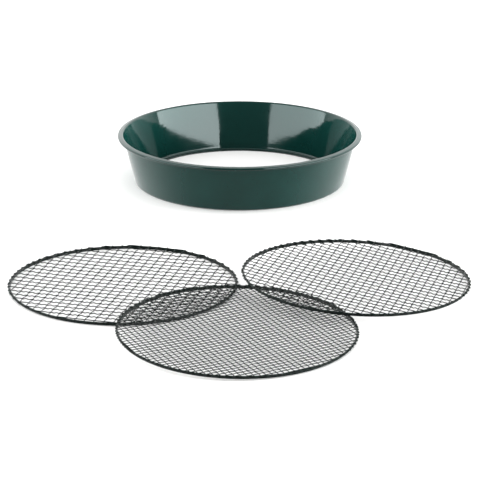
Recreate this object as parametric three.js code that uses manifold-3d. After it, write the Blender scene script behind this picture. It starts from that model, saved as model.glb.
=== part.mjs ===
// A round garden soil sieve, laid out on one surface as a set: an enamelled steel pan whose
// open base keeps a narrow folded ledge, and three loose wire screens that drop onto that
// ledge one at a time. A screen's band stands on the ledge. Here the coarse screen lies
// flat, the fine one leans on the coarse one, and the medium one leans on the fine one.
// Millimetres, +Z up, with the origin under the middle of the whole set, on the surface.
import * as THREE from "three";
import { mergeVertices } from "three/addons/utils/BufferGeometryUtils.js";
import Module from "manifold-3d";

const wasm = await Module();
wasm.setup();

// ---------------------------------------------------------------- driving dimensions

const SHEET = 0.8; // thickness of the pan's sheet steel with its coat
const GAP = 0.3; // air between two pieces that touch
const TURNS = 40; // flat facets round every ring
const WIRE_SIDES = 8; // sides of a round wire
const WIRES_PER_BAR = 4; // woven wires that one bar of a mesh stands for

// Radii are to the outside of the sheet, and heights are above the surface.
const PAN = {
  height: 73,
  rimRadius: 184,
  baseRadius: 158.2,
  flare: 0.253, // outward run of the wall for each millimetre of height
  holeRadius: 147.2,
  hemWidth: 3.3, // the ledge's edge, folded back on itself
  hemBend: 0.7,
  cornerBend: 3.6, // between the ledge and the wall
  rimBend: 2.2, // between the wall and the rim
  rimSlope: THREE.MathUtils.degToRad(10), // the rim's flange falls outwards
  wireRadius: 1.1, // the wire that the rim's edge is rolled round
};

// Every screen has the same rim under its mesh: a flat band that stands on edge, and a wire
// hoop close round the band's top. The mesh's ends reach past the hoop.
const SCREEN = {
  radius: 152,
  hoopRadius: 150.3,
  hoopWire: 0.9,
  bandRadius: 149.1,
  bandThickness: 0.8,
  bandHeight: 4,
};

// wires counts one direction of the weave. warp and weft are its two directions, turned
// from +X about +Z. centre is measured from the middle of the line between the coarse
// screen and the medium one.
const COARSE = { name: "coarse", centre: [-154, -5], wires: 24, wire: 1.25, warp: 76, weft: -16 };
const MEDIUM = { name: "medium", centre: [154, 5], wires: 28, wire: 1.25, warp: 75, weft: -35 };
const FINE = { name: "fine", centre: [-3, -185], wires: 42, wire: 1.1, warp: 116, weft: 32 };
const PAN_CENTRE = [0, 470];

// ---------------------------------------------------------------- materials

const greenEnamel = new THREE.MeshStandardMaterial({
  color: 0x1f3b35,
  roughness: 0.15,
  metalness: 0,
});
const screenEnamel = new THREE.MeshStandardMaterial({
  color: 0x14211d,
  roughness: 0.3,
  metalness: 0,
});
const bareSteel = new THREE.MeshStandardMaterial({
  color: 0x8c9092,
  roughness: 0.4,
  metalness: 1,
});

// ---------------------------------------------------------------- shared helpers

function namedMesh(name, geometry, material) {
  const mesh = new THREE.Mesh(geometry, material);
  mesh.name = name;
  return mesh;
}

// Points of a round stretch about (x, z), both ends included.
function arc(x, z, radius, from, to, steps) {
  const points = [];
  for (let i = 0; i <= steps; i++) {
    const angle = from + ((to - from) * i) / steps;
    points.push(new THREE.Vector2(x + radius * Math.cos(angle), z + radius * Math.sin(angle)));
  }
  return points;
}

// A closed outline of one thickness on both sides of a sheet's middle line.
function sheetOutline(line, thickness) {
  const sides = [[], []];
  line.forEach((point, i) => {
    const before = line[Math.max(i - 1, 0)];
    const after = line[Math.min(i + 1, line.length - 1)];
    const along = after.clone().sub(before).normalize();
    const across = new THREE.Vector2(-along.y, along.x).multiplyScalar(thickness / 2);
    sides[0].push(point.clone().add(across));
    sides[1].push(point.clone().sub(across));
  });
  return [...sides[1], ...sides[0].reverse(), sides[1][0].clone()];
}

// A ring of round wire whose lowest line is at height 0.
function wireRing(ringRadius, wireRadius) {
  const ring = new THREE.TorusGeometry(ringRadius, wireRadius, WIRE_SIDES, TURNS);
  return ring.translate(0, 0, wireRadius);
}

// A ring of flat strip that stands on its edge at height 0.
function bandRing(outside, thickness, height) {
  const inside = outside - thickness;
  const corners = [
    new THREE.Vector2(inside, 0),
    new THREE.Vector2(outside, 0),
    new THREE.Vector2(outside, height),
    new THREE.Vector2(inside, height),
    new THREE.Vector2(inside, 0),
  ];
  return new THREE.LatheGeometry(corners, TURNS).rotateX(Math.PI / 2);
}

// A three.js geometry as a solid that can be joined and cut.
function solid(geometry) {
  const plain = new THREE.BufferGeometry();
  plain.setAttribute("position", geometry.toNonIndexed().getAttribute("position"));
  const merged = mergeVertices(plain, 1e-3);
  return new wasm.Manifold(
    new wasm.Mesh({
      numProp: 3,
      vertProperties: merged.getAttribute("position").array,
      triVerts: new Uint32Array(merged.index.array),
    }),
  );
}

function geometryOf(manifold) {
  const made = manifold.getMesh();
  const geometry = new THREE.BufferGeometry();
  geometry.setAttribute("position", new THREE.BufferAttribute(made.vertProperties, 3));
  geometry.setIndex(new THREE.BufferAttribute(made.triVerts, 1));
  geometry.computeVertexNormals();
  return geometry;
}

// ---------------------------------------------------------------- the pan

// Where the rolled edge sits: its wire's centre, level with the end of the sloping flange.
function rimWirePlace(bendCentre) {
  const rollRadius = PAN.wireRadius + GAP + SHEET / 2;
  const radius = PAN.rimRadius - rollRadius - SHEET / 2;
  const slopeUp = new THREE.Vector2(Math.sin(PAN.rimSlope), Math.cos(PAN.rimSlope));
  const flange = bendCentre.clone().addScaledVector(slopeUp, PAN.rimBend);
  const height = (flange.dot(slopeUp) - rollRadius - radius * slopeUp.x) / slopeUp.y;
  return { radius, height, rollRadius };
}

// The middle line of the pan's sheet, from the folded hem round the hole to the rolled rim.
function panLine() {
  const half = SHEET / 2;
  const lean = Math.atan(PAN.flare);
  const foot = PAN.baseRadius - half / Math.cos(lean);
  const foldX = PAN.holeRadius + half + PAN.hemBend;
  const cornerZ = half + PAN.cornerBend;
  const cornerX = foot + PAN.flare * cornerZ - PAN.cornerBend / Math.cos(lean);
  const bendZ = PAN.height - half - PAN.rimBend;
  const bendX = foot + PAN.flare * bendZ + PAN.rimBend / Math.cos(lean);
  const roll = rimWirePlace(new THREE.Vector2(bendX, bendZ));
  const slope = Math.PI / 2 - PAN.rimSlope;
  const line = [
    new THREE.Vector2(foldX + PAN.hemWidth, half + 2 * PAN.hemBend),
    ...arc(foldX, half + PAN.hemBend, PAN.hemBend, Math.PI / 2, (3 * Math.PI) / 2, 4),
    ...arc(cornerX, cornerZ, PAN.cornerBend, -Math.PI / 2, -lean, 3),
    ...arc(bendX, bendZ, PAN.rimBend, Math.PI - lean, slope, 3),
    ...arc(roll.radius, roll.height, roll.rollRadius, slope, -Math.PI, 7),
  ];
  return { line, roll };
}

function pan() {
  const { line, roll } = panLine();
  const shell = new THREE.LatheGeometry(sheetOutline(line, SHEET), TURNS);
  shell.rotateX(Math.PI / 2);
  const wire = wireRing(roll.radius, PAN.wireRadius);
  wire.translate(0, 0, roll.height - PAN.wireRadius);
  const group = new THREE.Group();
  group.add(namedMesh("sieve_pan", shell, greenEnamel));
  group.add(namedMesh("rim_wire", wire, bareSteel));
  return group;
}

// ---------------------------------------------------------------- the screens

function stackHeight(spec) {
  return SCREEN.bandHeight + GAP + 2 * spec.wire;
}

// The mesh as a flat lattice of wider bars that holds the metal of all its wires.
function lattice(spec) {
  const bars = Math.round(spec.wires / WIRES_PER_BAR);
  const pitch = (2 * SCREEN.radius) / bars;
  const depth = 2 * spec.wire;
  const width = (spec.wires * Math.PI * spec.wire) / (8 * bars);
  let woven = null;
  for (const turn of [spec.warp, spec.weft]) {
    for (let i = 0; i < bars; i++) {
      const bar = new THREE.BoxGeometry(2.2 * SCREEN.radius, width, depth);
      bar.translate(0, (i + 0.5) * pitch - SCREEN.radius, 0);
      bar.rotateZ(THREE.MathUtils.degToRad(turn));
      woven = woven ? woven.add(solid(bar)) : solid(bar);
    }
  }
  const disc = new THREE.CylinderGeometry(SCREEN.radius, SCREEN.radius, 2 * depth, TURNS);
  disc.rotateX(Math.PI / 2);
  const trimmed = geometryOf(woven.intersect(solid(disc)));
  return trimmed.translate(0, 0, SCREEN.bandHeight + GAP + depth / 2);
}

// The plane under a screen, as its height at the centre and its rise along X and Y.
function flatPlane(spec) {
  return { centre: new THREE.Vector2(...spec.centre), height: 0, rise: new THREE.Vector2() };
}

function heightOn(plane, point) {
  return plane.height + point.clone().sub(plane.centre).dot(plane.rise);
}

// The plane of a screen that leans on the one below. It rests on the two points where
// their bands cross, and its far edge touches the surface. With R the bands' radius, d the
// distance of the centres and s half the crossing's width, the rise across the line of
// centres is b = (z1 - z2) / 2s, the rise along it is a = 2 (m - h) / d for a mean
// crossing height m, and the height h at the centre solves h^2 = R^2 (a^2 + b^2).
function leaningPlane(spec, belowSpec, below) {
  const centre = new THREE.Vector2(...spec.centre);
  const along = below.centre.clone().sub(centre);
  const distance = along.length();
  along.normalize();
  const across = new THREE.Vector2(-along.y, along.x);
  const halfWidth = Math.sqrt(SCREEN.bandRadius ** 2 - distance ** 2 / 4);
  const lift = stackHeight(belowSpec) + GAP;
  const middle = centre.clone().addScaledVector(along, distance / 2);
  const left = heightOn(below, middle.clone().addScaledVector(across, halfWidth)) + lift;
  const right = heightOn(below, middle.clone().addScaledVector(across, -halfWidth)) + lift;
  const mean = (left + right) / 2;
  const riseAcross = (left - right) / (2 * halfWidth);
  const reach = ((2 * SCREEN.bandRadius) / distance) ** 2;
  const a = 1 - reach;
  const b = 2 * reach * mean;
  const c = -(reach * mean ** 2 + (SCREEN.bandRadius * riseAcross) ** 2);
  const height = (-b + Math.sqrt(b ** 2 - 4 * a * c)) / (2 * a);
  const riseAlong = (2 * (mean - height)) / distance;
  const rise = along.multiplyScalar(riseAlong).addScaledVector(across, riseAcross);
  return { centre, height, rise };
}

function screen(spec, plane) {
  const hoop = wireRing(SCREEN.hoopRadius, SCREEN.hoopWire);
  hoop.translate(0, 0, SCREEN.bandHeight - 2 * SCREEN.hoopWire);
  const band = bandRing(SCREEN.bandRadius, SCREEN.bandThickness, SCREEN.bandHeight);
  const group = new THREE.Group();
  group.add(namedMesh(`${spec.name}_hoop`, hoop, screenEnamel));
  group.add(namedMesh(`${spec.name}_band`, band, screenEnamel));
  group.add(namedMesh(`${spec.name}_mesh`, lattice(spec), screenEnamel));
  const up = new THREE.Vector3(-plane.rise.x, -plane.rise.y, 1).normalize();
  group.quaternion.setFromUnitVectors(new THREE.Vector3(0, 0, 1), up);
  group.position.set(plane.centre.x, plane.centre.y, plane.height);
  return group;
}

// ---------------------------------------------------------------- the set

const coarsePlane = flatPlane(COARSE);
const finePlane = leaningPlane(FINE, COARSE, coarsePlane);
const mediumPlane = leaningPlane(MEDIUM, FINE, finePlane);

const panGroup = pan();
panGroup.position.set(PAN_CENTRE[0], PAN_CENTRE[1], 0);

const sieveSet = new THREE.Group();
sieveSet.add(panGroup);
sieveSet.add(screen(COARSE, coarsePlane));
sieveSet.add(screen(FINE, finePlane));
sieveSet.add(screen(MEDIUM, mediumPlane));

// The footprint's middle is brought over the origin.
const footprint = new THREE.Box3().setFromObject(sieveSet, true).getCenter(new THREE.Vector3());
sieveSet.position.set(-footprint.x, -footprint.y, 0);

const soilSieve = new THREE.Group();
soilSieve.add(sieveSet);

export default soilSieve;
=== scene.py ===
"""The looks of a garden soil sieve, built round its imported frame.

An enamelled steel pan stands behind three loose wire screens. The screens lie fanned out
on the floor and lean on one another. Sizes are in millimetres until a mesh is made, and
places come from the frame.
"""

import logging
from dataclasses import dataclass
from enum import Enum
from typing import Any, Protocol

import bpy
import numpy as np
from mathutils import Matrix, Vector


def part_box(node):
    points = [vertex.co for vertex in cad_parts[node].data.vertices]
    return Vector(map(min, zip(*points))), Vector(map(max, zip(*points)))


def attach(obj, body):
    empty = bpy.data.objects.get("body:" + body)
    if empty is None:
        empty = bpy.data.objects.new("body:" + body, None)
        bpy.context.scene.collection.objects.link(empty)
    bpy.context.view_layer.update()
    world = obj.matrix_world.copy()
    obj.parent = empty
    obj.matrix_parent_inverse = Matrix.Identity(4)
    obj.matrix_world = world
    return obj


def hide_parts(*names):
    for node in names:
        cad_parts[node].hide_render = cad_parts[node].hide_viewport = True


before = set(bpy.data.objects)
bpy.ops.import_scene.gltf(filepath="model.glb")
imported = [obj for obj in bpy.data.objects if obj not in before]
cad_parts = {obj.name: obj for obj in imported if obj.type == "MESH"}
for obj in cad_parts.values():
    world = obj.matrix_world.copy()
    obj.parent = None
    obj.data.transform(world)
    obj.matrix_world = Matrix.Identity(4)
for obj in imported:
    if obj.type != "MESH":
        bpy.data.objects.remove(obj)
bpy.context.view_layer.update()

Array = np.ndarray
log = logging.getLogger("soil_sieve")

MM = 0.001  # metres in a millimetre


class Body(Enum):
    """The bodies that pieces ride on."""

    PAN = "pan"
    COARSE = "coarse_screen"
    FINE = "fine_screen"
    MEDIUM = "medium_screen"


class Slot(Enum):
    """The record's material slots."""

    GREEN_ENAMEL = "green_enamel"
    SCREEN_ENAMEL = "screen_enamel"
    RIM_WIRE_STEEL = "rim_wire_steel"


class Layer(Enum):
    """The two directions of a weave. The value is the side on which its first wire starts."""

    WARP = 1
    WEFT = -1


# ------------------------------------------------------------------ colour and nodes


def linear(hex_colour: str) -> tuple[float, float, float, float]:
    """Turns an sRGB colour into the linear one that a shader takes.

    Args:
        hex_colour: "#rrggbb".

    Returns:
        Linear red, green, blue and an alpha of 1.
    """
    srgb = np.array([int(hex_colour[i : i + 2], 16) for i in (1, 3, 5)]) / 255.0
    toe = srgb / 12.92
    curve = ((srgb + 0.055) / 1.055) ** 2.4
    red, green, blue = np.where(srgb <= 0.04045, toe, curve).tolist()
    return red, green, blue, 1.0


def add_node(
    tree: bpy.types.NodeTree, kind: str, inputs: dict[Any, Any] | None = None, **settings: Any
) -> bpy.types.Node:
    """Adds one shader node with its settings and links.

    Args:
        tree: the node tree that it goes into.
        kind: the node's Blender type.
        inputs: socket name or number to a constant, or to the output socket that feeds it.
        settings: the node's own properties.

    Returns:
        The new node.
    """
    node = tree.nodes.new(kind)
    for name, value in settings.items():
        setattr(node, name, value)
    for socket, value in (inputs or {}).items():
        if isinstance(value, bpy.types.NodeSocket):
            tree.links.new(value, node.inputs[socket])
        else:
            node.inputs[socket].default_value = value
    return node


def grain(size: float) -> float:
    """The texture scale whose features are about this many millimetres across."""
    return 1.0 / (size * MM)


# ------------------------------------------------------------------ finishes


class Finish(Protocol):
    """What every finish offers: its name, its record slot and its nodes."""

    name: str
    slot: Slot

    def build(self, tree: bpy.types.NodeTree, shader: bpy.types.Node) -> None:
        """Adds the finish's nodes and feeds them to the shader."""


def material_of(finish: Finish) -> bpy.types.Material:
    """Makes a finish's material, once for each finish.

    Args:
        finish: the finish.

    Returns:
        The Blender material.
    """
    found = bpy.data.materials.get(finish.name)
    if found:
        return found
    material = bpy.data.materials.new(finish.name)
    material.use_nodes = True
    tree = material.node_tree
    tree.nodes.clear()
    shader = add_node(tree, "ShaderNodeBsdfPrincipled")
    add_node(tree, "ShaderNodeOutputMaterial", {"Surface": shader.outputs["BSDF"]})
    finish.build(tree, shader)
    return material


@dataclass(frozen=True)
class VitreousEnamel:
    """Dark green glass enamel, sprayed on pressed steel and fired.

    The glass flows level in the kiln, so the eye gets a deep colour under a clear, very
    smooth face. The face keeps a faint orange peel from the spray and a long, slow
    waviness from the steel. The glass draws thin on tight bends, where its dark ground
    coat comes nearer, and a few specks sit in it.
    """

    name: str = "vitreous_enamel_green"
    slot: Slot = Slot.GREEN_ENAMEL
    deep: str = "#082824"
    milky: str = "#0d332f"
    ground_coat: str = "#081413"
    speck: str = "#060d0c"
    index: float = 1.52
    smoothest: float = 0.045
    dullest: float = 0.11
    cloud_size: float = 55.0
    cloud_range: tuple[float, float] = (0.3, 0.7)
    speck_spacing: float = 7.0
    speck_edge: tuple[float, float] = (0.05, 0.07)
    speck_strength: float = 0.6
    peel_size: float = 4.6
    peel_depth: float = 0.03
    wave_size: float = 34.0
    wave_depth: float = 0.16

    def build(self, tree: bpy.types.NodeTree, shader: bpy.types.Node) -> None:
        """Adds the clouded colour, the specks, the thin bends and the two bumps.

        Args:
            tree: the material's node tree.
            shader: its Principled shader.
        """
        place = add_node(tree, "ShaderNodeTexCoord").outputs["Object"]
        cloud = add_node(
            tree, "ShaderNodeTexNoise",
            {"Vector": place, "Scale": grain(self.cloud_size), "Detail": 3.0},
        ).outputs["Fac"]
        tone = add_node(
            tree, "ShaderNodeMix",
            {0: cloud, 6: linear(self.deep), 7: linear(self.milky)},
            data_type="RGBA",
        )
        bend = add_node(tree, "ShaderNodeAttribute", attribute_name="bend").outputs["Fac"]
        thin = add_node(
            tree, "ShaderNodeMix",
            {0: bend, 6: tone.outputs[2], 7: linear(self.ground_coat)},
            data_type="RGBA",
        )
        cells = add_node(
            tree, "ShaderNodeTexVoronoi", {"Vector": place, "Scale": grain(self.speck_spacing)}
        ).outputs["Distance"]
        specks = add_node(
            tree, "ShaderNodeMapRange",
            {"Value": cells, "From Min": self.speck_edge[0], "From Max": self.speck_edge[1],
             "To Min": self.speck_strength, "To Max": 0.0},
        )
        colour = add_node(
            tree, "ShaderNodeMix",
            {0: specks.outputs["Result"], 6: thin.outputs[2], 7: linear(self.speck)},
            data_type="RGBA",
        )
        sheen = add_node(
            tree, "ShaderNodeMapRange",
            {"Value": cloud, "From Min": self.cloud_range[0], "From Max": self.cloud_range[1],
             "To Min": self.smoothest, "To Max": self.dullest},
        )
        wave = add_node(
            tree, "ShaderNodeTexNoise",
            {"Vector": place, "Scale": grain(self.wave_size), "Detail": 1.0},
        )
        wavy = add_node(
            tree, "ShaderNodeBump",
            {"Height": wave.outputs["Fac"], "Strength": 1.0, "Distance": self.wave_depth * MM},
        )
        peel = add_node(
            tree, "ShaderNodeTexNoise",
            {"Vector": place, "Scale": grain(self.peel_size), "Detail": 1.5},
        )
        peeled = add_node(
            tree, "ShaderNodeBump",
            {"Height": peel.outputs["Fac"], "Strength": 1.0,
             "Distance": self.peel_depth * MM, "Normal": wavy.outputs["Normal"]},
        )
        tree.links.new(colour.outputs[2], shader.inputs["Base Color"])
        tree.links.new(sheen.outputs["Result"], shader.inputs["Roughness"])
        tree.links.new(peeled.outputs["Normal"], shader.inputs["Normal"])
        shader.inputs["IOR"].default_value = self.index


@dataclass(frozen=True)
class DippedWireCoat:
    """Near-black green enamel on woven steel wire, dipped and baked as one.

    The coat is thick and satin. It gathers in a smoother, darker drop where wires cross
    and at a weld or a lap, and it is a little rough between.
    """

    name: str = "dipped_wire_enamel"
    slot: Slot = Slot.SCREEN_ENAMEL
    between: str = "#041813"
    gathered: str = "#020b08"
    index: float = 1.5
    specular: float = 0.18
    smoothest: float = 0.18
    dullest: float = 0.36
    drip_size: float = 5.0
    pimple_size: float = 0.9
    pimple_depth: float = 0.05
    pimple_strength: float = 0.5

    def build(self, tree: bpy.types.NodeTree, shader: bpy.types.Node) -> None:
        """Adds the two tones, the uneven gloss and the pimpled face.

        Args:
            tree: the material's node tree.
            shader: its Principled shader.
        """
        place = add_node(tree, "ShaderNodeTexCoord").outputs["Object"]
        drips = add_node(
            tree, "ShaderNodeTexNoise",
            {"Vector": place, "Scale": grain(self.drip_size), "Detail": 2.0},
        ).outputs["Fac"]
        pool = add_node(tree, "ShaderNodeAttribute", attribute_name="pool").outputs["Fac"]
        wet = add_node(
            tree, "ShaderNodeMath", {0: drips, 1: pool}, operation="ADD", use_clamp=True
        ).outputs[0]
        colour = add_node(
            tree, "ShaderNodeMix",
            {0: wet, 6: linear(self.between), 7: linear(self.gathered)},
            data_type="RGBA",
        )
        sheen = add_node(
            tree, "ShaderNodeMapRange",
            {"Value": wet, "To Min": self.dullest, "To Max": self.smoothest},
        )
        pimples = add_node(
            tree, "ShaderNodeTexNoise",
            {"Vector": place, "Scale": grain(self.pimple_size), "Detail": 2.0},
        )
        face = add_node(
            tree, "ShaderNodeBump",
            {"Height": pimples.outputs["Fac"], "Strength": self.pimple_strength,
             "Distance": self.pimple_depth * MM},
        )
        tree.links.new(colour.outputs[2], shader.inputs["Base Color"])
        tree.links.new(sheen.outputs["Result"], shader.inputs["Roughness"])
        tree.links.new(face.outputs["Normal"], shader.inputs["Normal"])
        shader.inputs["IOR"].default_value = self.index
        shader.inputs["Specular IOR Level"].default_value = self.specular


@dataclass(frozen=True)
class DrawnSteel:
    """Bright mild-steel wire as it leaves the drawing die: grey, with fine lengthwise lines."""

    name: str = "drawn_mild_steel"
    slot: Slot = Slot.RIM_WIRE_STEEL
    bright: str = "#a9abac"
    dull: str = "#7d7f80"
    smoothest: float = 0.28
    dullest: float = 0.46
    line_size: float = 0.6

    def build(self, tree: bpy.types.NodeTree, shader: bpy.types.Node) -> None:
        """Adds the drawn lines, in colour and in gloss.

        Args:
            tree: the material's node tree.
            shader: its Principled shader.
        """
        place = add_node(tree, "ShaderNodeTexCoord").outputs["Object"]
        lines = add_node(
            tree, "ShaderNodeTexNoise",
            {"Vector": place, "Scale": grain(self.line_size), "Detail": 3.0},
        ).outputs["Fac"]
        colour = add_node(
            tree, "ShaderNodeMix",
            {0: lines, 6: linear(self.bright), 7: linear(self.dull)},
            data_type="RGBA",
        )
        sheen = add_node(
            tree, "ShaderNodeMapRange",
            {"Value": lines, "To Min": self.smoothest, "To Max": self.dullest},
        )
        tree.links.new(colour.outputs[2], shader.inputs["Base Color"])
        tree.links.new(sheen.outputs["Result"], shader.inputs["Roughness"])
        shader.inputs["Metallic"].default_value = 1.0


# ------------------------------------------------------------------ surfaces


def grid_quads(rows: int, columns: int, ring_rows: bool) -> Array:
    """Quads over a grid whose columns close on themselves.

    Vertex (i, j) is number i * columns + j. Each quad goes round (i, j), (i, j + 1),
    (i + 1, j + 1) and (i + 1, j), which faces outwards where the columns turn
    anticlockwise about the rows' direction.

    Args:
        rows: the number of rows of vertices.
        columns: the number of vertices in a row.
        ring_rows: whether the last row joins the first.

    Returns:
        An array of shape (quads, 4).
    """
    i = np.arange(rows if ring_rows else rows - 1)[:, None]
    j = np.arange(columns)[None, :]
    after = (i + 1) % rows
    beside = (j + 1) % columns
    corners = (
        i * columns + j, i * columns + beside, after * columns + beside, after * columns + j,
    )
    return np.stack([np.broadcast_to(c, (i.size, columns)) for c in corners], -1).reshape(-1, 4)


@dataclass
class Surface:
    """A closed surface in metres, with one shade attribute.

    Attributes:
        points: vertices, of shape (n, 3).
        faces: arrays of faces, one array for each number of corners.
        attribute: the shade attribute's name.
        shade: its value at each vertex.
    """

    points: Array
    faces: list[Array]
    attribute: str
    shade: Array

    def place(self, name: str, finish: Finish, body: Body, *stands_for: str) -> bpy.types.Object:
        """Makes the Blender piece, dresses it and sets it on its body.

        Args:
            name: the piece's name.
            finish: its finish.
            body: the body that it rides on.
            stands_for: the CAD nodes that it replaces.

        Returns:
            The new object.
        """
        mesh = bpy.data.meshes.new(name)
        loops = [face for group in self.faces for face in group.tolist()]
        mesh.from_pydata(self.points.tolist(), [], loops)
        mesh.polygons.foreach_set("use_smooth", np.ones(len(mesh.polygons), bool))
        values = mesh.attributes.new(self.attribute, "FLOAT", "POINT")
        values.data.foreach_set("value", self.shade.astype(np.float32).ravel())
        mesh.materials.append(material_of(finish))
        mesh.update()
        piece = bpy.data.objects.new(name, mesh)
        bpy.context.scene.collection.objects.link(piece)
        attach(piece, body.value)
        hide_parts(*stands_for)
        log.info("%s: %d faces on %s", name, len(mesh.polygons), body.value)
        return piece


def revolved(outline: Array, shade: Array, centre: Array, turns: int) -> tuple[Array, Array, Array]:
    """Turns a closed outline about a vertical axis.

    A point (r, z) of the outline goes to centre + (r cos a, r sin a, z) for every angle a.
    The outline runs anticlockwise in (r, z), so that the faces point outwards.

    Args:
        outline: the outline, of shape (n, 2).
        shade: its shade, of shape (n,).
        centre: the axis's foot.
        turns: the number of steps round the axis.

    Returns:
        Vertices, quads and the vertices' shade.
    """
    angle = np.linspace(0.0, 2 * np.pi, turns, endpoint=False)
    radius, height = outline[:, :1], outline[:, 1:]
    points = np.stack(
        [radius * np.cos(angle), radius * np.sin(angle), height + 0.0 * angle], axis=-1
    )
    quads = grid_quads(len(outline), turns, ring_rows=True)
    return points.reshape(-1, 3) + centre, quads, np.repeat(shade, turns)


# ------------------------------------------------------------------ the pan


@dataclass
class SheetLine:
    """The middle line of a formed sheet in (r, z), built stretch by stretch.

    Every point keeps the normal on the line's left, so that the sheet's two faces can be
    set off from it, and a bend value from 0 on a flat to 1 on the tightest fold.
    """

    points: list[Array]
    normals: list[Array]
    bends: list[Array]

    @classmethod
    def start(cls) -> "SheetLine":
        """An empty line."""
        return cls([], [], [])

    def arc(
        self, centre: tuple[float, float], radius: float, start: float, end: float,
        steps: int, bend: float,
    ) -> None:
        """Adds a round stretch: centre + radius (cos a, sin a) for a from start to end.

        Its left normal points to the centre where a grows, and away where it falls. The
        straight before it needs no points of its own.

        Args:
            centre: the arc's centre.
            radius: its radius.
            start: its first angle.
            end: its last angle.
            steps: the number of steps.
            bend: the bend value at its middle.
        """
        angle = np.linspace(start, end, steps + 1)
        spoke = np.stack([np.cos(angle), np.sin(angle)], axis=-1)
        self.points.append(np.array(centre) + radius * spoke)
        self.normals.append(spoke * np.sign(start - end))
        self.bends.append(bend * np.sin(np.linspace(0.0, np.pi, steps + 1)))

    def straight(self, to: Array, steps: int) -> None:
        """Adds points along the straight from the last point to another, without its end.

        Args:
            to: the point that the straight ends at.
            steps: the number of steps.
        """
        share = np.arange(1, steps)[:, None] / steps
        last, normal = self.points[-1][-1], self.normals[-1][-1]
        self.points.append(last + (np.asarray(to) - last) * share)
        self.normals.append(np.repeat(normal[None, :], steps - 1, axis=0))
        self.bends.append(np.zeros(steps - 1))

    def outline(self, thickness: float, cap_steps: int) -> tuple[Array, Array]:
        """Thickens the line into a closed outline with half-round edges.

        The outline is the right face forwards, c + h (sin f T - cos f N) round the far
        edge for f from 0 to pi, the left face backwards, and the same round the near edge,
        with h the half thickness, N the left normal and T the direction of travel.

        Args:
            thickness: the sheet's thickness.
            cap_steps: the number of steps round an edge.

        Returns:
            The outline of shape (n, 2), and its bend values.
        """
        points, normals = np.concatenate(self.points), np.concatenate(self.normals)
        bends = np.concatenate(self.bends)
        half = thickness / 2
        turn = np.linspace(0.0, np.pi, cap_steps + 1)[1:-1, None]
        travel = np.stack([normals[:, 1], -normals[:, 0]], axis=-1)
        far = points[-1] + half * (np.sin(turn) * travel[-1] - np.cos(turn) * normals[-1])
        near = points[0] + half * (np.cos(turn) * normals[0] - np.sin(turn) * travel[0])
        left, right = points + half * normals, points - half * normals
        edge = np.ones(len(turn))
        return (
            np.concatenate([right, far, left[::-1], near]),
            np.concatenate([bends, edge, bends[::-1], edge]),
        )


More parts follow.
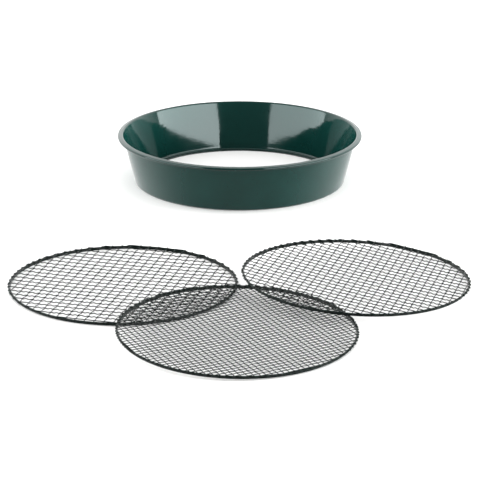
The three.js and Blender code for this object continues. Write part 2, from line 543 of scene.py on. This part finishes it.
@dataclass
class EnamelledPan:
    """The pan: one pressed sheet from the folded hem round the hole to the rolled rim.

    Radii are to the outside of the sheet. flare is the wall's outward run for each
    millimetre of height. The steps cut up the sheet's line: bend_steps each tight bend,
    flat_steps the ledge and the flange, and wall_steps and roll_steps what they name.
    """

    sheet: float = 0.8
    flare: float = 0.253
    base_radius: float = 158.2
    hole_radius: float = 147.2
    hem_width: float = 3.3
    hem_bend: float = 0.7
    corner_bend: float = 3.6
    rim_bend: float = 2.2
    rim_slope: float = np.radians(10.0)
    wire_radius: float = 1.1
    wire_gap: float = 0.3
    wire_sides: int = 14
    bend_steps: int = 12
    flat_steps: int = 4
    wall_steps: int = 26
    roll_steps: int = 26
    cap_steps: int = 6
    turns: int = 320
    enamel: VitreousEnamel = VitreousEnamel()
    steel: DrawnSteel = DrawnSteel()

    def __post_init__(self) -> None:
        """Takes the place, the height and the rim's radius from the frame."""
        low, high = (np.array(corner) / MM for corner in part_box("sieve_pan"))
        self.centre = np.array([(low[0] + high[0]) / 2, (low[1] + high[1]) / 2, 0.0])
        self.height = high[2]
        self.rim_radius = (high[0] - low[0]) / 2
        half = self.sheet / 2
        self.lean = np.arctan(self.flare)
        foot = self.base_radius - half / np.cos(self.lean)
        self.bend_z = self.height - half - self.rim_bend
        self.bend_x = foot + self.flare * self.bend_z + self.rim_bend / np.cos(self.lean)
        self.corner_z = half + self.corner_bend
        self.corner_x = (
            foot + self.flare * self.corner_z - self.corner_bend / np.cos(self.lean)
        )
        self.roll_radius = self.wire_radius + self.wire_gap + half
        self.wire_ring = self.rim_radius - self.roll_radius - half
        slope = np.array([np.sin(self.rim_slope), np.cos(self.rim_slope)])
        flange = np.array([self.bend_x, self.bend_z]) + self.rim_bend * slope
        self.wire_z = (
            flange @ slope - self.roll_radius - self.wire_ring * slope[0]
        ) / slope[1]

    def sheet_line(self) -> SheetLine:
        """The sheet's middle line: hem, ledge, corner, wall, flange and rolled edge.

        Returns:
            The line, from the hem's edge to the roll's.
        """
        half = self.sheet / 2
        fold_x = self.hole_radius + half + self.hem_bend
        fold_z = half + self.hem_bend
        quarter = np.pi / 2
        line = SheetLine.start()
        line.points.append(np.array([[fold_x + self.hem_width, fold_z + self.hem_bend]]))
        line.normals.append(np.array([[0.0, -1.0]]))
        line.bends.append(np.array([1.0]))
        line.arc(
            (fold_x, fold_z), self.hem_bend, quarter, 3 * quarter, self.bend_steps, bend=0.8
        )
        line.straight((self.corner_x, half), self.flat_steps)
        line.arc(
            (self.corner_x, self.corner_z), self.corner_bend, -quarter, -self.lean,
            self.bend_steps, bend=0.0,
        )
        wall = np.array([-np.cos(self.lean), np.sin(self.lean)])
        wall_top = np.array([self.bend_x, self.bend_z]) + self.rim_bend * wall
        line.straight(wall_top, self.wall_steps)
        line.arc(
            (self.bend_x, self.bend_z), self.rim_bend,
            np.pi - self.lean, quarter - self.rim_slope, self.bend_steps, bend=0.15,
        )
        slope = np.array([np.sin(self.rim_slope), np.cos(self.rim_slope)])
        flange_end = np.array([self.wire_ring, self.wire_z]) + self.roll_radius * slope
        line.straight(flange_end, self.flat_steps)
        line.arc(
            (self.wire_ring, self.wire_z), self.roll_radius,
            quarter - self.rim_slope, -np.pi, self.roll_steps, bend=0.5,
        )
        return line

    def pressing_marks(self, points: Array) -> Array:
        """Moves the surface by the slight unevenness that pressing and firing leave.

        With a the angle and q the height over the full height, a point goes outwards by
        q (0.16 sin(3a + 0.7) + 0.07 sin(8a + 5q) + 0.03 sin(19a - 9q)) millimetres. The
        base stays true.

        Args:
            points: vertices about the pan's own axis, in millimetres.

        Returns:
            The moved vertices.
        """
        angle = np.arctan2(points[:, 1], points[:, 0])
        share = np.clip(points[:, 2] / self.height, 0.0, 1.0)
        out = share * (
            0.16 * np.sin(3 * angle + 0.7)
            + 0.07 * np.sin(8 * angle + 5 * share)
            + 0.03 * np.sin(19 * angle - 9 * share)
        )
        moved = points.copy()
        moved[:, 0] += out * np.cos(angle)
        moved[:, 1] += out * np.sin(angle)
        return moved

    def shell(self) -> Surface:
        """The whole enamelled sheet, turned about the pan's axis."""
        outline, bends = self.sheet_line().outline(self.sheet, self.cap_steps)
        points, quads, shade = revolved(outline, bends, np.zeros(3), self.turns)
        points = self.pressing_marks(points) + self.centre
        return Surface(points * MM, [quads], "bend", shade)

    def wire(self) -> Surface:
        """The rim's wire: a round section, turned about the pan's axis."""
        angle = np.linspace(0.0, 2 * np.pi, self.wire_sides, endpoint=False)
        section = self.wire_radius * np.stack([np.cos(angle), np.sin(angle)], axis=-1)
        section += np.array([self.wire_ring, self.wire_z])
        points, quads, shade = revolved(section, np.zeros(len(section)), self.centre, self.turns)
        return Surface(points * MM, [quads], "bend", shade)

    def build(self) -> None:
        """Makes the pan's pieces."""
        self.shell().place("enamelled_pan", self.enamel, Body.PAN, "sieve_pan")
        self.wire().place("rim_wire_ring", self.steel, Body.PAN, "rim_wire")


# ------------------------------------------------------------------ the screens


@dataclass
class Placement:
    """Where a screen lies: a point and three axes, worked out from its hoop."""

    origin: Array
    axes: Array

    @classmethod
    def of_hoop(cls, node: str, height: float) -> "Placement":
        """Finds the plane that a hoop's screen stands on.

        The hoop's plane is the one that its vertices are least spread across, and its
        normal n = (a, b, c) turns the upright frame by the shortest way, so that the axes
        are (1 - a a / (1 + c), -a b / (1 + c), -a), the same with a and b exchanged, and n.

        Args:
            node: the hoop's CAD node.
            height: the hoop's centre above the plane, in millimetres.

        Returns:
            The placement, in millimetres.
        """
        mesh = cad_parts[node].data
        points = np.zeros(3 * len(mesh.vertices))
        mesh.vertices.foreach_get("co", points)
        points = np.unique(np.round(points.reshape(-1, 3) / MM, 3), axis=0)
        middle = points.mean(axis=0)
        normal = np.linalg.svd(points - middle, full_matrices=False)[2][2]
        a, b, c = normal * np.sign(normal[2])
        axes = np.array([
            [1 - a * a / (1 + c), -a * b / (1 + c), -a],
            [-a * b / (1 + c), 1 - b * b / (1 + c), -b],
            [a, b, c],
        ])
        return cls(middle - height * axes[2], axes)

    def to_world(self, points: Array) -> Array:
        """Points of the screen's own frame, in metres, in the row frame."""
        return (self.origin + points @ self.axes) * MM


@dataclass
class Hoop:
    """A hoop of round wire, butt-welded into a ring.

    Attributes:
        ring_radius: from the screen's axis to the wire's centre.
        wire_radius: the wire's radius.
        centre_z: the wire's centre above the plane that the screen stands on.
        weld_at: the weld's angle from the screen's first axis, in radians.
        steps: the steps round the ring.
        sides: the steps round the wire.
        weld_swell: how much thicker the wire is at the weld, as a share of its radius.
        weld_length: the weld's length to one side of its middle.
    """

    ring_radius: float
    wire_radius: float
    centre_z: float
    weld_at: float
    steps: int = 720
    sides: int = 10
    weld_swell: float = 0.25
    weld_length: float = 2.0

    def surface(self, placement: Placement) -> Surface:
        """The hoop's skin.

        The wire's radius at the angle a is r (1 + swell e^-(g/l)^2), with g the arc from
        the weld and l the weld's length. The section at a is the ring's point plus that
        radius times (cos f outwards + sin f upwards), for f once round.

        Args:
            placement: where the screen lies.

        Returns:
            The surface, in metres.
        """
        angle = np.linspace(0.0, 2 * np.pi, self.steps, endpoint=False)[:, None]
        turn = np.linspace(0.0, 2 * np.pi, self.sides, endpoint=False)[None, :]
        from_weld = np.angle(np.exp(1j * (angle - self.weld_at))) * self.ring_radius
        weld = np.exp(-((from_weld / self.weld_length) ** 2))
        wire = self.wire_radius * (1 + self.weld_swell * weld)
        out = self.ring_radius + wire * np.cos(turn)
        points = np.stack(
            [out * np.cos(angle), out * np.sin(angle), self.centre_z + wire * np.sin(turn)],
            axis=-1,
        )
        quads = grid_quads(self.steps, self.sides, ring_rows=True)[:, ::-1]
        shade = np.broadcast_to(weld, points.shape[:2])
        return Surface(placement.to_world(points.reshape(-1, 3)), [quads], "pool", shade)


@dataclass
class Band:
    """A flat strip on edge, bent into a ring, with its ends lapped and spot-welded.

    Attributes:
        outside: the ring's radius to the outside of the strip.
        thickness: the strip's thickness.
        height: the strip's width, which stands upright.
        lap_at: the lap's angle from the screen's first axis, in radians.
        edge_radius: how round the strip's edges are.
        corner_steps: the steps round an edge.
        face_steps: the steps across a face.
        steps: the steps round the ring.
        lap_length: half the lap's length.
        lap_swell: how far the upper end stands out at the lap.
        lap_pool: how far the coat has gathered at the lap, from 0 to 1.
    """

    outside: float
    thickness: float
    height: float
    lap_at: float
    edge_radius: float = 0.25
    corner_steps: int = 4
    face_steps: int = 3
    steps: int = 600
    lap_length: float = 7.0
    lap_swell: float = 0.25
    lap_pool: float = 0.35

    def section(self) -> Array:
        """The strip's outline in (r, z), anticlockwise, with rounded edges.

        Each corner is a quarter turn of the edge radius about its own centre, and the
        faces between them are cut into equal steps.
        """
        near = self.outside - self.thickness
        turn = np.linspace(0.0, np.pi / 2, self.corner_steps + 1)
        corners = []
        for quarter, (r, z) in enumerate((
            (self.outside - self.edge_radius, self.height - self.edge_radius),
            (near + self.edge_radius, self.height - self.edge_radius),
            (near + self.edge_radius, self.edge_radius),
            (self.outside - self.edge_radius, self.edge_radius),
        )):
            angle = turn + quarter * np.pi / 2
            spoke = np.stack([np.cos(angle), np.sin(angle)], axis=-1)
            corners.append(np.array([r, z]) + self.edge_radius * spoke)
        share = np.arange(1, self.face_steps)[:, None] / self.face_steps
        pieces = []
        for corner, following in zip(corners, corners[1:] + corners[:1]):
            pieces += [corner, corner[-1] + (following[0] - corner[-1]) * share]
        return np.concatenate(pieces)

    def surface(self, placement: Placement) -> Surface:
        """The band's skin.

        The section is turned about the axis. Its outer face stands out by
        swell / (1 + (g/l)^8) more, with g the arc from the lap's middle and l half the
        lap's length, so that the upper end lies flat on the lower one.

        Args:
            placement: where the screen lies.

        Returns:
            The surface, in metres.
        """
        section = self.section()
        points, quads, _ = revolved(section, np.zeros(len(section)), np.zeros(3), self.steps)
        angle = np.arctan2(points[:, 1], points[:, 0])
        radius = np.hypot(points[:, 0], points[:, 1])
        arc = np.abs(np.angle(np.exp(1j * (angle - self.lap_at)))) * self.outside
        lap = 1 / (1 + (arc / self.lap_length) ** 8)
        outer_face = (radius - (self.outside - self.thickness)) / self.thickness
        stretch = 1 + self.lap_swell * lap * outer_face / radius
        points[:, :2] *= stretch[:, None]
        return Surface(placement.to_world(points), [quads], "pool", self.lap_pool * lap)


@dataclass
class Weave:
    """One screen's mesh: two layers of crimped wire, hooked round the hoop.

    A wire at the offset u runs along s. Its distance from the screen's axis is
    q = sqrt(u u + s s). Inside the band its height is the mesh's middle plus
    c d cos(pi m k), with d the wire's diameter, c its layer's share of the crimp, k the
    number of the crossing wire and m an odd number, so that it goes over one and under
    the next. The shares add up to 1, so that crossing wires touch. The warp takes the
    larger share in one long wave, with m = 1. In an intercrimped weave the weft has m = 3,
    with an extra wave between crossings. The whole mesh hangs by dish (1 - (q/E)^2), with
    E the band's inside. On the band a wire lies flat, and its ends follow
    q = R + p sin b and z = Z + p cos b round the hoop, with p the hoop's and the wire's
    radius together and b up to hook_turn.

    Attributes:
        count: the wires of one layer.
        diameter: the wire's diameter.
        angles: each layer's direction, turned from the screen's first axis, in degrees.
        hoop: the hoop that the ends are hooked round.
        band: the band that the mesh lies on.
        reach: the radius that the pitch is spread over.
        weft_waves: the weft's half waves from one crossing to the next, an odd number.
        sides: the steps round a wire.
        steps_per_wave: the steps along each half wave.
        hook_steps: the steps along a hooked end.
        hook_turn: how far an end is bent round the hoop, in radians.
        rim_blend: the width inside the band over which the waves die out.
        dish: how far the mesh's middle hangs.
        gather: how much thicker the coat is where wires cross, as a share of the radius.
        pool_power: how short the gathered stretch is.
        warp_crimp: the warp's share of the crimp.
    """

    count: int
    diameter: float
    angles: dict[Layer, float]
    hoop: Hoop
    band: Band
    reach: float
    weft_waves: int
    sides: int = 6
    steps_per_wave: int = 6
    hook_steps: int = 6
    hook_turn: float = np.radians(104.0)
    rim_blend: float = 9.0
    dish: float = 2.2
    gather: float = 0.16
    pool_power: int = 16
    warp_crimp: float = 0.64

    @property
    def pitch(self) -> float:
        """The distance between neighbouring wires of a layer."""
        return 2 * self.reach / self.count

    def offsets(self) -> Array:
        """Each wire's distance from the screen's axis, as a column."""
        return ((np.arange(self.count) - (self.count - 1) / 2) * self.pitch)[:, None]

    def run(self, waves: int) -> tuple[Array, Array, Array]:
        """Each wire's stations: s, the distance q from the axis, and the hook's height.

        Args:
            waves: the layer's half waves from one crossing to the next.

        Returns:
            Three arrays of shape (wires, stations). The height is NaN inside the hooks.
        """
        offset = self.offsets()
        arm = self.hoop.wire_radius + self.diameter / 2
        turn = np.linspace(self.hook_turn, 0.0, self.hook_steps + 1)[None, :-1]
        hook_q = self.hoop.ring_radius + arm * np.sin(turn)
        hook_s = np.sqrt(hook_q**2 - offset**2)
        hook_z = np.broadcast_to(self.hoop.centre_z + arm * np.cos(turn), hook_s.shape)
        half = np.sqrt(self.hoop.ring_radius**2 - offset**2)
        steps = self.count * self.steps_per_wave * waves
        inside_s = half * np.linspace(-1.0, 1.0, steps + 1)[None, :]
        along = np.concatenate([-hook_s, inside_s, hook_s[:, ::-1]], axis=1)
        blank = np.full(inside_s.shape, np.nan)
        height = np.concatenate([hook_z, blank, hook_z[:, ::-1]], axis=1)
        return along, np.hypot(along, offset), height

    def layer(self, layer: Layer, placement: Placement) -> Surface:
        """All wires of one layer as closed tubes.

        A station's section is its point plus r (cos f N + sin f T x N), with T the wire's
        direction, N the horizontal across it, and r the wire's radius times
        1 + gather cos(pi k)^power, so that it is a little more where wires cross.

        Args:
            layer: which of the two layers.
            placement: where the screen lies.

        Returns:
            The surface, in metres.
        """
        other = Layer.WEFT if layer is Layer.WARP else Layer.WARP
        heading, crossing = (np.radians(self.angles[x]) for x in (layer, other))
        offset = self.offsets()
        waves = 1 if layer is Layer.WARP else self.weft_waves
        along, reach, hook_z = self.run(waves)
        fall = crossing - heading
        number = (offset * np.cos(fall) - along * np.sin(fall)) / self.pitch
        number += (self.count - 1) / 2
        parity = layer.value * np.where(np.arange(self.count) % 2, -1.0, 1.0)[:, None]
        edge = self.band.outside - self.band.thickness
        inside = np.clip((edge - reach) / self.rim_blend, 0.0, 1.0)
        inside = inside * inside * (3 - 2 * inside)
        crimp = self.warp_crimp if layer is Layer.WARP else 1 - self.warp_crimp
        wave = crimp * parity * np.cos(np.pi * waves * number) * inside
        sag = self.dish * np.clip(1 - (reach / edge) ** 2, 0.0, 1.0)
        height = self.band.height + (0.5 + wave) * self.diameter - sag
        height = np.where(np.isnan(hook_z), height, hook_z)
        pool = np.cos(np.pi * number) ** self.pool_power * inside
        radius = (self.diameter / 2) * (1 + self.gather * pool)

        ahead = np.array([np.cos(heading), np.sin(heading), 0.0])
        across = np.array([-np.sin(heading), np.cos(heading), 0.0])
        upright = np.array([0.0, 0.0, 1.0])
        centre = (
            along[..., None] * ahead + offset[..., None] * across + height[..., None] * upright
        )
        run, rise = np.gradient(along, axis=1), np.gradient(height, axis=1)
        length = np.hypot(run, rise)
        # T x N for T = (run, rise) in the wire's own upright plane and N across it.
        over = (run[..., None] * upright - rise[..., None] * ahead) / length[..., None]
        turn = np.linspace(0.0, 2 * np.pi, self.sides, endpoint=False)[:, None]
        section = np.cos(turn) * across + np.sin(turn) * over[:, :, None, :]
        points = centre[:, :, None, :] + radius[:, :, None, None] * section
        stations = along.shape[1]
        per_wire = stations * self.sides
        first = (np.arange(self.count) * per_wire)[:, None, None]
        quads = (grid_quads(stations, self.sides, ring_rows=False) + first).reshape(-1, 4)
        ring = np.arange(self.sides)
        near_end = (ring[::-1] + first[:, 0]).reshape(-1, self.sides)
        far_end = (ring + per_wire - self.sides + first[:, 0]).reshape(-1, self.sides)
        shade = np.broadcast_to(pool[:, :, None], points.shape[:3])
        return Surface(
            placement.to_world(points.reshape(-1, 3)), [quads, near_end, far_end], "pool", shade
        )


@dataclass
class Screen:
    """One loose screen: a band on edge, a wire hoop round it and a woven mesh on both.

    Attributes:
        grade: the name that its nodes begin with.
        body: the body that it rides on.
        count: the wires in each direction.
        diameter: the wires' diameter.
        warp: the warp's direction in degrees, from +X.
        weft: the weft's direction in degrees, from +X.
        weld_at: the hoop's weld, in degrees from +X. The band's lap is opposite.
        weft_waves: the weft's half waves from one crossing to the next.
        radius: the mesh's radius.
        hoop_radius: from the screen's axis to the hoop's centre line.
        hoop_wire: the radius of the hoop's wire.
        band_radius: the band's radius to its outside.
        band_thickness: the band's thickness.
        band_height: how tall the band stands.
        coat: the screen's finish.
    """

    grade: str
    body: Body
    count: int
    diameter: float
    warp: float
    weft: float
    weld_at: float
    weft_waves: int
    radius: float = 152.0
    hoop_radius: float = 150.3
    hoop_wire: float = 0.9
    band_radius: float = 149.1
    band_thickness: float = 0.8
    band_height: float = 4.0
    coat: DippedWireCoat = DippedWireCoat()

    def build(self) -> None:
        """Makes the screen's hoop and band, and the mesh's two layers."""
        centre_z = self.band_height - self.hoop_wire
        placement = Placement.of_hoop(f"{self.grade}_hoop", centre_z)
        weld = np.radians(self.weld_at)
        hoop = Hoop(self.hoop_radius, self.hoop_wire, centre_z, weld)
        band = Band(self.band_radius, self.band_thickness, self.band_height, weld + np.pi)
        weave = Weave(
            self.count, self.diameter, {Layer.WARP: self.warp, Layer.WEFT: self.weft},
            hoop, band, self.radius, self.weft_waves,
        )
        hoop.surface(placement).place(
            f"{self.grade}_wire_hoop", self.coat, self.body, f"{self.grade}_hoop"
        )
        band.surface(placement).place(
            f"{self.grade}_edge_band", self.coat, self.body, f"{self.grade}_band"
        )
        for layer in Layer:
            weave.layer(layer, placement).place(
                f"{self.grade}_{layer.name.lower()}", self.coat, self.body, f"{self.grade}_mesh"
            )


# ------------------------------------------------------------------ the studio


class Reach(Enum):
    """What a lamp acts on."""

    GLOSS = "gloss"
    MATT = "matt"


@dataclass
class Softbox:
    """A large lamp behind cloth, as a flat upright panel that faces a point on the floor.

    It either shows in gloss or lights matt colour, so that the two are set apart.

    Attributes:
        name: the lamp's name.
        target: the point that it faces, in metres.
        distance: from that point to the panel's middle, in metres.
        bearing: its middle's direction, in degrees from -Y towards +X.
        low: its lower edge's height, in metres.
        size: its width and height, in metres.
        radiance: how bright its face is.
        reach: what it acts on.
        tint: its colour, as "#rrggbb".
    """

    name: str
    target: tuple[float, float]
    distance: float
    bearing: float
    low: float
    size: tuple[float, float]
    radiance: float
    reach: Reach
    tint: str

    def build(self) -> None:
        """Makes the lamp. Its power is pi times its radiance and its area."""
        lamp = bpy.data.lights.new(self.name, "AREA")
        lamp.shape = "RECTANGLE"
        lamp.size, lamp.size_y = self.size
        lamp.color = linear(self.tint)[:3]
        lamp.energy = np.pi * self.radiance * self.size[0] * self.size[1]
        turn = np.radians(self.bearing)
        outward = Vector((np.sin(turn), -np.cos(turn), 0.0))
        holder = bpy.data.objects.new(self.name, lamp)
        middle = Vector((*self.target, self.low + self.size[1] / 2))
        holder.location = middle + self.distance * outward
        holder.rotation_euler = (-outward).to_track_quat("-Z", "Y").to_euler()
        holder.visible_camera = False
        holder.visible_diffuse = self.reach is Reach.MATT
        holder.visible_glossy = self.reach is Reach.GLOSS
        bpy.context.scene.collection.objects.link(holder)


@dataclass
class Studio:
    """A plain pale floor, soft light and the camera.

    The room lights matt colour evenly, with a low lamp on either side. In gloss it is a
    white sweep behind the object, a dim room before it, and a softbox on either side.
    """

    floor_half: float = 14.0
    floor_colour: str = "#f4f4f3"
    camera_place: tuple[float, float, float] = (0.0, -3.02, 1.035)
    camera_aim: tuple[float, float, float] = (0.0, 0.02, 0.0)
    lens: float = 172.0
    room_light: float = 1.45
    room_gloss: tuple[float, float] = (0.07, 1.7)
    room_turn: tuple[float, float] = (-0.3, 0.45)
    floor_gloss: tuple[float, float] = (0.44, 1.15)
    floor_turn: tuple[float, float] = (-0.6, 0.45)
    horizon: tuple[float, float] = (-0.2, 0.02)
    paper_roughness: float = 0.9
    paper_specular: float = 0.1
    lamp_target: tuple[float, float] = (0.0, 0.31)
    lamp_distance: float = 3.2
    lamp_low: float = 0.02
    gloss_tint: str = "#efffff"
    matt_tint: str = "#ffffff"

    def floor(self) -> None:
        """Lays the floor at height 0: a matt sheet that gloss doesn't show."""
        half = self.floor_half
        mesh = bpy.data.meshes.new("studio_floor")
        corners = [(-half, -half, 0), (half, -half, 0), (half, half, 0), (-half, half, 0)]
        mesh.from_pydata(corners, [], [(0, 1, 2, 3)])
        paper = bpy.data.materials.new("studio_paper")
        paper.use_nodes = True
        shader = paper.node_tree.nodes["Principled BSDF"]
        shader.inputs["Base Color"].default_value = linear(self.floor_colour)
        shader.inputs["Roughness"].default_value = self.paper_roughness
        shader.inputs["Specular IOR Level"].default_value = self.paper_specular
        mesh.materials.append(paper)
        floor = bpy.data.objects.new("studio_floor", mesh)
        floor.visible_glossy = False
        bpy.context.scene.collection.objects.link(floor)

    def surroundings(self) -> None:
        """Lights the room evenly, and gives gloss a white sweep behind a dim room.

        In gloss, the room's brightness goes from its front value to its back one as the
        direction's Y goes through room_turn, and the floor's does as it goes through
        floor_turn. The floor gives way to the room as Z goes through horizon.
        """
        world = bpy.data.worlds.new("studio_room")
        world.use_nodes = True
        tree = world.node_tree
        tree.nodes.clear()
        toward = add_node(tree, "ShaderNodeTexCoord").outputs["Generated"]
        parts = add_node(tree, "ShaderNodeSeparateXYZ", {"Vector": toward})
        sweeps = [
            add_node(
                tree, "ShaderNodeMapRange",
                {"Value": parts.outputs["Y"], "From Min": start, "From Max": end,
                 "To Min": front, "To Max": back},
                interpolation_type="SMOOTHSTEP",
            ).outputs["Result"]
            for (start, end), (front, back) in (
                (self.floor_turn, self.floor_gloss), (self.room_turn, self.room_gloss),
            )
        ]
        above = add_node(
            tree, "ShaderNodeMapRange",
            {"Value": parts.outputs["Z"],
             "From Min": self.horizon[0], "From Max": self.horizon[1]},
            interpolation_type="SMOOTHSTEP",
        ).outputs["Result"]
        shown = add_node(tree, "ShaderNodeMix", {0: above, 2: sweeps[0], 3: sweeps[1]})
        glossy = add_node(tree, "ShaderNodeLightPath").outputs["Is Glossy Ray"]
        strength = add_node(
            tree, "ShaderNodeMix", {0: glossy, 2: self.room_light, 3: shown.outputs[0]}
        )
        room = add_node(
            tree, "ShaderNodeBackground",
            {"Color": (1.0, 1.0, 1.0, 1.0), "Strength": strength.outputs[0]},
        )
        add_node(tree, "ShaderNodeOutputWorld", {"Surface": room.outputs["Background"]})
        bpy.context.scene.world = world

    def lamps(self) -> None:
        """Sets a softbox on either side, low enough to show over the pan's near wall.

        The pan's far wall is hollow towards them, so each one shows on its other half.
        """
        for name, bearing, size, radiance, reach in (
            ("left_softbox", -64.0, (4.0, 1.7), 5.1, Reach.GLOSS),
            ("right_softbox", 57.0, (4.4, 1.7), 7.2, Reach.GLOSS),
            ("left_side_lamp", -110.0, (3.0, 0.9), 24.0, Reach.MATT),
            ("right_side_lamp", 100.0, (3.0, 0.9), 34.0, Reach.MATT),
        ):
            tint = self.gloss_tint if reach is Reach.GLOSS else self.matt_tint
            Softbox(
                name, self.lamp_target, self.lamp_distance, bearing, self.lamp_low,
                size, radiance, reach, tint,
            ).build()

    def camera(self) -> None:
        """Sets the camera: a long lens a little above the object."""
        data = bpy.data.cameras.new("studio_camera")
        data.lens = self.lens
        data.sensor_width = 36.0
        data.clip_end = 100.0
        holder = bpy.data.objects.new("studio_camera", data)
        holder.location = self.camera_place
        facing = Vector(self.camera_aim) - Vector(self.camera_place)
        holder.rotation_euler = facing.to_track_quat("-Z", "Y").to_euler()
        bpy.context.scene.collection.objects.link(holder)
        bpy.context.scene.camera = holder

    def build(self) -> None:
        """Sets up the whole studio."""
        self.floor()
        self.surroundings()
        self.lamps()
        self.camera()
        bpy.context.scene.view_settings.view_transform = "Standard"


# ------------------------------------------------------------------ the whole


def main() -> None:
    """Builds the pan, the three screens and the studio."""
    logging.basicConfig(level=logging.INFO, format="%(name)s: %(message)s")
    EnamelledPan().build()
    for screen in (
        Screen("coarse", Body.COARSE, 24, 1.25, 76.0, -16.0, weld_at=200.0, weft_waves=3),
        Screen("fine", Body.FINE, 42, 1.1, 116.0, 32.0, weld_at=320.0, weft_waves=1),
        Screen("medium", Body.MEDIUM, 28, 1.25, 75.0, -35.0, weld_at=15.0, weft_waves=3),
    ):
        screen.build()
    Studio().build()


if __name__ == "__main__":
    main()
